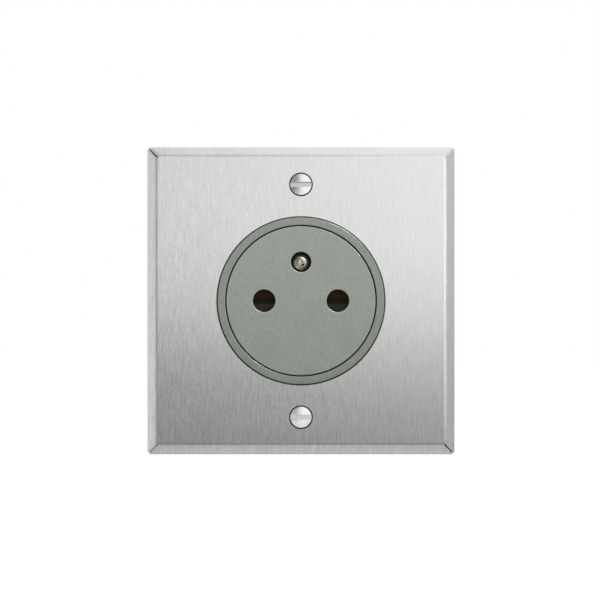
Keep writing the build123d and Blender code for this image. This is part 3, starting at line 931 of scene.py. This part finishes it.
@dataclass
class EarthPin:
    """Turned pin with a bullet tip and a riveted end.

    Attributes:
        radius, centre: radius of the shaft, and a point on its axis.
        tip, tip_flat, pip: depth of the tip, radius of its flat end and depth of the dent there.
        shoulder, neck: depth where the shaft ends, and radius of the neck in the strap.
        strap_back, rivet, rivet_height: depth of the strap's back, and radius and height of the rivet on it.
        flat_points, nose_points, rivet_points: points over the flat, the nose and the rivet.
        sides: points round the pin.
        crease: angle in degrees past which an edge stays sharp.
    """

    radius: float = 2.4 * MM
    centre: Triple = (0.0, 0.0, 10.0 * MM)
    tip: float = -3.3 * MM
    tip_flat: float = 0.7 * MM
    pip: float = 0.02 * MM
    shoulder: float = 22.0 * MM
    neck: float = 1.7 * MM
    strap_back: float = 22.8 * MM
    rivet: float = 2.7 * MM
    rivet_height: float = 0.9 * MM
    flat_points: int = 12
    nose_points: int = 25
    rivet_points: int = 14
    sides: int = 64
    crease: float = 40.0

    def profile(self) -> np.ndarray:
        """Radius and depth from the tip back: a dented flat, a quarter round, the shaft and a domed rivet.

        The dent is pip (1 + cos(pi r / flat)) / 2 deep, and the rivet rises by height (1 - s^2) at the
        share s of its radius.

        Returns:
            The rows of the profile.
        """
        nose = self.radius - self.tip_flat
        flat = np.linspace(0, self.tip_flat, self.flat_points)
        dent = self.pip * 0.5 * (1 + np.cos(np.pi * flat / self.tip_flat))
        turn = np.linspace(0, np.pi / 2, self.nose_points)[1:]
        arc = np.stack([self.tip_flat + nose * np.sin(turn), self.tip + nose * (1 - np.cos(turn))], axis=-1)
        shaft = np.array([
            [self.radius, self.shoulder], [self.neck, self.shoulder],
            [self.neck, self.strap_back], [self.rivet, self.strap_back],
        ])
        share = np.linspace(1, 0, self.rivet_points)
        dome = np.stack([self.rivet * share, self.strap_back + self.rivet_height * (1 - share ** 2)], axis=-1)
        return np.vstack([np.stack([flat, self.tip + dent], axis=-1), arc, shaft, dome[1:]])

    def build(self, dresser: Dresser) -> None:
        """The pin as one turned piece in place of its solid.

        Args:
            dresser: gives it its finish.
        """
        angles = np.linspace(0, 2 * np.pi, self.sides, endpoint=False)
        mesh = make_mesh(PIN, [lathe(self.profile(), angles, self.centre)], self.crease)
        dresser.add(mesh, Body.HOUSING, "pin_nickel", dresser.finishes.pin, "earth_pin")


@dataclass
class Coil:
    """Coil spring between two seats.

    Attributes:
        name, node: name of the piece, and the solid that it stands for.
        body, joint, travel: the body that it rides on, and a joint and its travel, which are not used.
        radius, wire, turns: mean radius, width of the wire and number of turns.
        fixed_end, moving_end: middles of the two seats.
        turn_points, wire_points: points along one turn and round the wire.
        crease: angle in degrees past which an edge stays sharp.
    """

    name: str
    node: str
    body: Body
    joint: str
    travel: float
    radius: float
    wire: float
    turns: float
    fixed_end: Triple
    moving_end: Triple
    turn_points: int = 40
    wire_points: int = 14
    crease: float = 50.0

    def wound(self, start: np.ndarray, end: np.ndarray) -> list[Patch]:
        """Round wire on a helix: centre + radius (u cos a + v sin a), swept by a circle square to the path.

        Args:
            start: the axis at the wire's first end.
            end: the axis at the wire's last end.

        Returns:
            The tube and its two flat ends.
        """
        length = np.linalg.norm(end - start)
        axis = (end - start) / length
        u = np.array([1.0, 0.0, 0.0])
        v = np.cross(axis, u)
        t = np.linspace(0, 1, int(self.turn_points * self.turns) + 1)[:, None]
        a = 2 * np.pi * self.turns * t
        outward = u * np.cos(a) + v * np.sin(a)
        path = start + axis * length * t + self.radius * outward
        forward = axis * length / (2 * np.pi * self.turns) + self.radius * (v * np.cos(a) - u * np.sin(a))
        forward = forward / np.linalg.norm(forward, axis=1, keepdims=True)
        upward = np.cross(forward, outward)
        b = np.linspace(0, 2 * np.pi, self.wire_points, endpoint=False)[None, :, None]
        tube = path[:, None] + self.wire / 2 * (outward[:, None] * np.cos(b) + upward[:, None] * np.sin(b))
        caps = [np.stack([tube[row], np.repeat(path[row][None], self.wire_points, 0)]) for row in (0, -1)]
        return [Patch(grid, closed=True) for grid in (tube, *caps)]

    def build(self, dresser: Dresser) -> None:
        """The wound wire in place of its solid, with its own copy of the mesh.

        Args:
            dresser: gives it its finish.
        """
        fixed, moving = np.array(self.fixed_end), np.array(self.moving_end)
        length = np.linalg.norm(fixed - moving)
        axis = (fixed - moving) / length
        patches = self.wound(moving + axis * self.wire / 2, fixed - axis * self.wire / 2)
        mesh = make_mesh(self.name, patches, self.crease)
        piece = dresser.add(mesh, self.body, "spring_wire", dresser.finishes.wire, self.node)
        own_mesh(piece)


@dataclass
class Front:
    """What the room sees: plate, ring and face.

    Attributes:
        crease: angle in degrees past which an edge stays sharp.
        screw_spacing, hole_reach: distance between the screw holes, and a little more than their radius.
        seam_start, seam_end: distances from the middle, before a seam starts and just before it ends.
        seam_half, shut_half: a little more than half a seam's width, and than the radius at its start.
        rim_flat: faces that stay nearer to the wall's surface than this belong to the rim's end.
        plastic_front, plastic_edge, slant: depth of the mouldings' front, height of their rounded edges,
            and the part of the normal along Y that such an edge has.
    """

    crease: float = 32.0
    screw_spacing: float = 60.0 * MM
    hole_reach: float = 3.13 * MM
    seam_start: float = 50.0 * MM
    seam_end: float = 56.0 * MM
    seam_half: float = 0.15 * MM
    shut_half: float = 0.26 * MM
    rim_flat: float = 0.01 * MM
    plastic_front: float = -4.3 * MM
    plastic_edge: float = 0.25 * MM
    slant: Span = (0.05, 0.995)

    def round_faces(self, mesh: bpy.types.Mesh) -> np.ndarray:
        """Faces of the rounded edges at the front of a moulding, rubbed smooth.

        Args:
            mesh: the moulding's mesh.

        Returns:
            One truth value for each face.
        """
        middle, normal = faces_of(mesh)
        facing = np.abs(normal[:, 1])
        slanted = (facing > self.slant[0]) & (facing < self.slant[1])
        return slanted & (middle[:, 1] < self.plastic_front + self.plastic_edge)

    def in_shut_seam(self, place: Vector) -> bool:
        """Whether a point lies in the seam at the upper right, where x = z."""
        near = min(place.x, place.z) > 0 and abs(place.x - place.z) < math.sqrt(2) * self.shut_half
        return near and place.xz.length > self.seam_start

    def press_shut(self, mesh: bpy.types.Mesh) -> None:
        """Closes the seam at the upper right: its walls and floor go, and flat faces bridge what stays open.

        Args:
            mesh: the plate's mesh.
        """
        form = bmesh.new()
        form.from_mesh(mesh)
        inside = {point for point in form.verts if self.in_shut_seam(point.co)}
        walls = [
            face for face in form.faces
            if inside.issuperset(face.verts) and min(point.co.y for point in face.verts) < -self.rim_flat
        ]
        bmesh.ops.delete(form, geom=walls, context="FACES")
        end = [
            edge for edge in form.edges
            if edge.is_boundary and min(point.co.xz.length for point in edge.verts) > self.seam_end
        ]
        bmesh.ops.contextual_create(form, geom=end)
        bmesh.ops.holes_fill(form, edges=[edge for edge in form.edges if edge.is_boundary], sides=0)
        bmesh.ops.recalc_face_normals(form, faces=form.faces)
        form.to_mesh(mesh)
        form.free()
        lay_flat(mesh)
        log.info("%s: upper right seam closed, %d faces left out", mesh.name, len(walls))

    def painted_cut_faces(self, mesh: bpy.types.Mesh) -> tuple[np.ndarray, np.ndarray]:
        """Faces in the plate's cuts that get painted shade: screw holes and open seams, painted near black,
        and the seam at the lower left, painted lighter so that its groove looks less shaded.

        Args:
            mesh: the plate's mesh.

        Returns:
            One truth value for each face, for the cuts painted near black and for the lower left seam painted
            lighter.
        """
        middle, normal = faces_of(mesh)
        x, z = middle[:, 0], middle[:, 2]
        off_axis = np.hypot(x, np.abs(z) - self.screw_spacing / 2)
        in_hole = (off_axis < self.hole_reach) & (np.abs(normal[:, 1]) < STRAIGHT)
        off_seam = np.abs(np.abs(x) - np.abs(z)) / math.sqrt(2)
        in_seam = (off_seam < self.seam_half) & (np.hypot(x, z) > self.seam_start)
        return in_hole | (in_seam & (x * z < 0)), in_seam & (x < 0) & (z < 0)

    def build(self, dresser: Dresser) -> None:
        """Smooth copies of the plate, the sleeve and the face.

        Args:
            dresser: gives them their finishes.
        """
        finishes = dresser.finishes
        plate = dresser.soften("cover_plate", Body.HOUSING, "plate_steel", finishes.steel, self.crease)
        self.press_shut(plate.data)
        # Painted shade in the plate's screw holes and seams.
        for faces, finish in zip(self.painted_cut_faces(plate.data), (finishes.cut, finishes.seam)):
            dresser.paint(plate, faces, finish)
        ring = dresser.soften("well_sleeve", Body.HOUSING, "face_grey", finishes.ring, self.crease)
        dresser.paint(ring, self.round_faces(ring.data), finishes.ring_edge)
        face = dresser.soften("face_disc", Body.FACE, "face_grey", finishes.face, self.crease)
        dresser.paint(face, self.round_faces(face.data), finishes.face_edge)


@dataclass
class Works:
    """Solids behind the face that keep their form, by what they are made of.

    Attributes:
        sheet: pressed sheet and small screws, zinc plated.
        clamps, contacts: brass clamps, and brass contacts.
        grips: rings of spring wire.
        base: dark mouldings.
    """

    sheet: tuple[str, ...] = ("mounting_frame", "housing_screws", "terminal_screws")
    clamps: tuple[str, ...] = ("live_clamp", "neutral_clamp", "earth_clamp")
    contacts: tuple[str, ...] = ("live_contact", "neutral_contact", "earth_strap")
    grips: tuple[str, ...] = ("live_grip_ring", "neutral_grip_ring")
    base: tuple[str, ...] = ("base_block", "rear_cover")

    def build(self, dresser: Dresser) -> None:
        """Finishes for the frame, the mouldings, the brass and the small screws.

        Args:
            dresser: gives them their finishes.
        """
        finishes = dresser.finishes
        for nodes, finish in (
            (self.sheet, finishes.zinc),
            (self.contacts + self.clamps, finishes.brass),
            (self.grips, finishes.wire),
            (self.base, finishes.base),
            (("shutter",), finishes.shutter),
            (("shutter_retainer",), finishes.inner),
        ):
            for node in nodes:
                dresser.keep(node, finish)


@dataclass
class Softbox:
    """Rectangular lamp aimed at the socket.

    Attributes:
        name: its name.
        place, target: its middle, and the point that it looks at.
        size, radiance: width and height, and light for each area and angle.
        pieces, reach: named pieces, and whether it lights only those or all but those.
        roll: turn about its own axis, in degrees.
        colour: colour of its light.
    """

    name: str
    place: Triple
    size: Pair
    radiance: float
    target: Triple = (0.0, 0.0, 0.0)
    pieces: tuple[str, ...] = ()
    reach: Reach = Reach.ALL
    roll: float = 0.0
    colour: Colour = (1.0, 1.0, 1.0)

    def choose(self, holder: bpy.types.Object) -> None:
        """Keeps the lamp's light to some pieces or off them.

        Args:
            holder: the lamp's object.
        """
        chosen = bpy.data.collections.new(f"{self.name}_pieces")
        holder.light_linking.receiver_collection = chosen
        for name in self.pieces:
            chosen.objects.link(bpy.data.objects[name])
        for entry in chosen.collection_objects:
            entry.light_linking.link_state = self.reach.value

    def build(self) -> None:
        """Adds the lamp: power = radiance x pi x area."""
        lamp = bpy.data.lights.new(self.name, "AREA")
        lamp.shape = "RECTANGLE"
        lamp.size, lamp.size_y = self.size
        lamp.energy = self.radiance * math.pi * self.size[0] * self.size[1]
        lamp.color = self.colour
        holder = bpy.data.objects.new(self.name, lamp)
        holder.location = self.place
        aim = (Vector(self.target) - Vector(self.place)).to_track_quat("-Z", "Y")
        holder.rotation_euler = (aim @ Quaternion((0.0, 0.0, 1.0), math.radians(self.roll))).to_euler()
        holder.visible_camera = False
        bpy.context.scene.collection.objects.link(holder)
        if self.reach is not Reach.ALL:
            self.choose(holder)


def stage_sheet(name: str, corners: list[Triple], graph: Graph) -> bpy.types.Object:
    """Flat four-sided part of the stage.

    Args:
        name: its name.
        corners: its corners in order.
        graph: nodes of its material.

    Returns:
        The object.
    """
    mesh = bpy.data.meshes.new(name)
    mesh.from_pydata(corners, [], [(0, 1, 2, 3)])
    mesh.materials.append(graph.material)
    sheet = bpy.data.objects.new(name, mesh)
    bpy.context.scene.collection.objects.link(sheet)
    return sheet


@dataclass
class Card:
    """Upright grey card that only reflections see, square to the view.

    Attributes:
        name, place, size: its name, its middle, and its width and height.
        level: strength of its light.
    """

    name: str
    place: Triple
    size: Pair
    level: float

    def build(self) -> None:
        """Adds the card as part of the stage."""
        x, y, z = self.place
        a, b = self.size[0] / 2, self.size[1] / 2
        graph = Graph(self.name)
        graph.glow(grey=0.0, roughness=1.0, strength=self.level)
        corners = [(x - a, y, z - b), (x + a, y, z - b), (x + a, y, z + b), (x - a, y, z + b)]
        card = stage_sheet(self.name, corners, graph)
        card.visible_camera = False
        card.visible_diffuse = False
        card.visible_shadow = False
        card.visible_transmission = False


@dataclass
class Floor:
    """Pale floor below the socket, a little greyer near it, and darker in front of it to reflections.

    Attributes:
        height, side: its height and its width.
        grey, roughness: level of its own colour, and its roughness.
        near, near_level: distances from the origin, and the light that the camera sees there.
        before, before_level: range of y from before the socket to behind it, and the light in reflections.
        far, far_level: distances past which reflections see it bright on all sides, and that light.
    """

    height: float = -0.32
    side: float = 12.0
    grey: float = 0.3
    roughness: float = 0.9
    near: Span = (0.6, 1.1)
    near_level: Span = (0.84, 1.0)
    before: Span = (-0.15, 0.2)
    before_level: Span = (0.5, 0.92)
    far: Span = (1.5, 2.5)
    far_level: Span = (0.0, 0.95)

    def build(self) -> None:
        """Adds the floor as part of the stage."""
        graph = Graph("pale_floor")
        path = graph.add("ShaderNodeLightPath").outputs
        seen = graph.maths("MAXIMUM", path["Is Camera Ray"], path["Is Glossy Ray"])
        distance = graph.length(graph.coordinates())
        bright = graph.span(distance, self.near, self.near_level)
        mirrored = graph.maths(
            "MAXIMUM",
            graph.span(graph.along(Axis.Y), self.before, self.before_level),
            graph.span(distance, self.far, self.far_level),
        )
        light = graph.maths("MULTIPLY", graph.join(bright, mirrored, path["Is Glossy Ray"]), seen)
        graph.glow(self.grey, self.roughness, light)
        half, z = self.side / 2, self.height
        corners = [(-half, -half, z), (half, -half, z), (half, half, z), (-half, half, z)]
        stage_sheet("floor", corners, graph)


@dataclass
class Studio:
    """White surroundings, soft lamps, grey cards and the camera.

    Attributes:
        ambient: even light of the surroundings.
        camera_distance, face_front: distance of the camera from the face's front, and that front's depth.
        view_width, aim: width of the picture at the face's front, and the x and z in its middle.
        sensor, near_clip: width of the sensor in Blender's millimetres, and the nearest distance drawn.
        cool: colour of the lamps that the plate mirrors most.
    """

    ambient: float = 0.15
    camera_distance: float = 350.0 * MM
    face_front: float = -4.3 * MM
    view_width: float = 154.4 * MM
    aim: Pair = (-0.25 * MM, 0.22 * MM)
    sensor: float = 36.0
    near_clip: float = 10.0 * MM
    cool: Colour = (1.0, 0.97, 1.012)

    def surroundings(self) -> None:
        """World that is white to the camera and to reflections, and an even dimmer light to the rest."""
        world = bpy.data.worlds.new("studio")
        bpy.context.scene.world = world
        world.use_nodes = True
        tree = world.node_tree
        tree.nodes.clear()
        path = tree.nodes.new("ShaderNodeLightPath").outputs
        seen = path["Is Camera Ray"]
        for kind in ("Is Glossy Ray", "Is Transmission Ray"):
            either = tree.nodes.new("ShaderNodeMath")
            either.operation = "MAXIMUM"
            tree.links.new(seen, either.inputs[0])
            tree.links.new(path[kind], either.inputs[1])
            seen = either.outputs[0]
        level = tree.nodes.new("ShaderNodeMapRange")
        level.inputs[3].default_value = self.ambient
        level.inputs[4].default_value = 1.0
        tree.links.new(seen, level.inputs[0])
        back = tree.nodes.new("ShaderNodeBackground")
        back.inputs[0].default_value = (1.0, 1.0, 1.0, 1.0)
        tree.links.new(level.outputs[0], back.inputs[1])
        out = tree.nodes.new("ShaderNodeOutputWorld")
        tree.links.new(back.outputs[0], out.inputs[0])

    def camera(self) -> None:
        """Camera straight before the face, framed for a square picture."""
        lens = bpy.data.cameras.new("camera")
        lens.sensor_width = self.sensor
        lens.lens = self.sensor * self.camera_distance / self.view_width
        lens.clip_start = self.near_clip
        holder = bpy.data.objects.new("camera", lens)
        holder.location = (self.aim[0], self.face_front - self.camera_distance, self.aim[1])
        holder.rotation_euler = (math.pi / 2, 0.0, 0.0)
        bpy.context.scene.collection.objects.link(holder)
        bpy.context.scene.camera = holder

    def panels(self) -> list[Softbox]:
        """Lamps for the fronts: a key from the upper right, panels that they mirror, and one for the pin.

        Returns:
            The lamps.
        """
        return [
            Softbox(
                "key_lamp", (0.66, -0.34, 1.02), (0.52, 0.52), 36.5,
                pieces=(PLATE, SCREWS), reach=Reach.ALL_BUT,
            ),
            Softbox(
                "front_panel", (0.036, -0.15, 0.0655), (0.302, 0.162), 1.555, target=(0.037, 0.0, 0.0655),
                pieces=(SCREWS, PIN, FACE, RING), reach=Reach.ALL_BUT, roll=-3.5, colour=self.cool,
            ),
            Softbox(
                "face_panel", (-0.035, -0.15, 0.068), (0.3, 0.16), 1.48, target=(-0.035, 0.0, 0.068),
                pieces=(FACE, RING), reach=Reach.ONLY,
            ),
            Softbox(
                "pin_lamp", (0.25, -0.69, 0.34), (0.42, 0.12), 4.2,
                pieces=(PIN,), reach=Reach.ONLY, roll=-36.0,
            ),
        ]

    def side_lamps(self) -> list[Softbox]:
        """Lamps for the folded sides and the folds of the plate.

        Returns:
            The lamps.
        """
        return [
            Softbox(
                "right_strip", (0.35, -0.22, 0.085), (0.08, 0.3), 7.4, pieces=(PLATE,), reach=Reach.ONLY,
            ),
            Softbox("top_lamp", (0.115, 0.16, 0.42), (0.45, 0.3), 1.34, colour=self.cool),
            Softbox(
                "fold_lamp", (0.1, -0.2, 0.36), (0.6, 0.22), 1.05, target=(0.0, 0.0, 0.04),
                pieces=(PLATE,), reach=Reach.ONLY, colour=self.cool,
            ),
            Softbox(
                "corner_lamp", (0.056, -0.05, 0.135), (0.06, 0.06), 2.3, target=(0.03, 0.0, 0.038),
                pieces=(PLATE,), reach=Reach.ONLY,
            ),
            Softbox(
                "low_fold_lamp", (0.0, -0.12, -0.2), (0.5, 0.12), 0.65, target=(0.0, 0.0, -0.04),
                pieces=(PLATE,), reach=Reach.ONLY,
            ),
            Softbox("left_lamp", (-0.42, 0.16, -0.04), (0.3, 0.6), 1.03, colour=self.cool),
            Softbox("right_lamp", (0.42, 0.16, 0.2), (0.3, 0.5), 0.45, colour=self.cool),
        ]

    def cards(self) -> list[Card]:
        """Cards that darken what the plate and the screws mirror, below and at the left.

        Returns:
            The cards.
        """
        return [
            Card("low_card", (0.11, -0.10, -0.0955), (0.5, 0.071), 0.1),
            Card("low_card_far", (-0.1, -0.5, -0.21), (0.3, 0.22), 0.88),
            Card("left_card_high", (-0.236, -0.5, 0.2), (0.45, 0.4), 0.25),
            Card("left_card_low", (-0.24, -0.5, -0.2), (0.45, 0.4), 0.4),
        ]

    def build(self) -> None:
        """Sets up the whole stage."""
        self.surroundings()
        self.camera()
        for part in (Floor(), *self.panels(), *self.side_lamps(), *self.cards()):
            part.build()
        bpy.context.scene.view_settings.view_transform = "Standard"


def main() -> None:
    """Builds every piece and the stage."""
    logging.basicConfig(level=logging.INFO, format="%(name)s: %(message)s")
    dresser = Dresser(Finishes())
    return_spring = Coil(
        "return_spring_wound", "return_spring", Body.HOUSING, joint="face_slide", travel=15.0 * MM,
        radius=3.2 * MM, wire=0.8 * MM, turns=5.5,
        fixed_end=(0.0, 28.0 * MM, 0.0), moving_end=(0.0, 4.0 * MM, 0.0),
    )
    shutter_spring = Coil(
        "shutter_spring_wound", "shutter_spring", Body.FACE, joint="shutter_slide", travel=6.2 * MM,
        radius=1.5 * MM, wire=0.4 * MM, turns=5.0,
        fixed_end=(0.0, 0.15 * MM, -16.6 * MM), moving_end=(0.0, 0.15 * MM, -1.4 * MM),
    )
    for part in (Front(), FixingScrews(), EarthPin(), return_spring, shutter_spring, Works()):
        part.build(dresser)
    Studio().build()


if __name__ == "__main__":
    main()
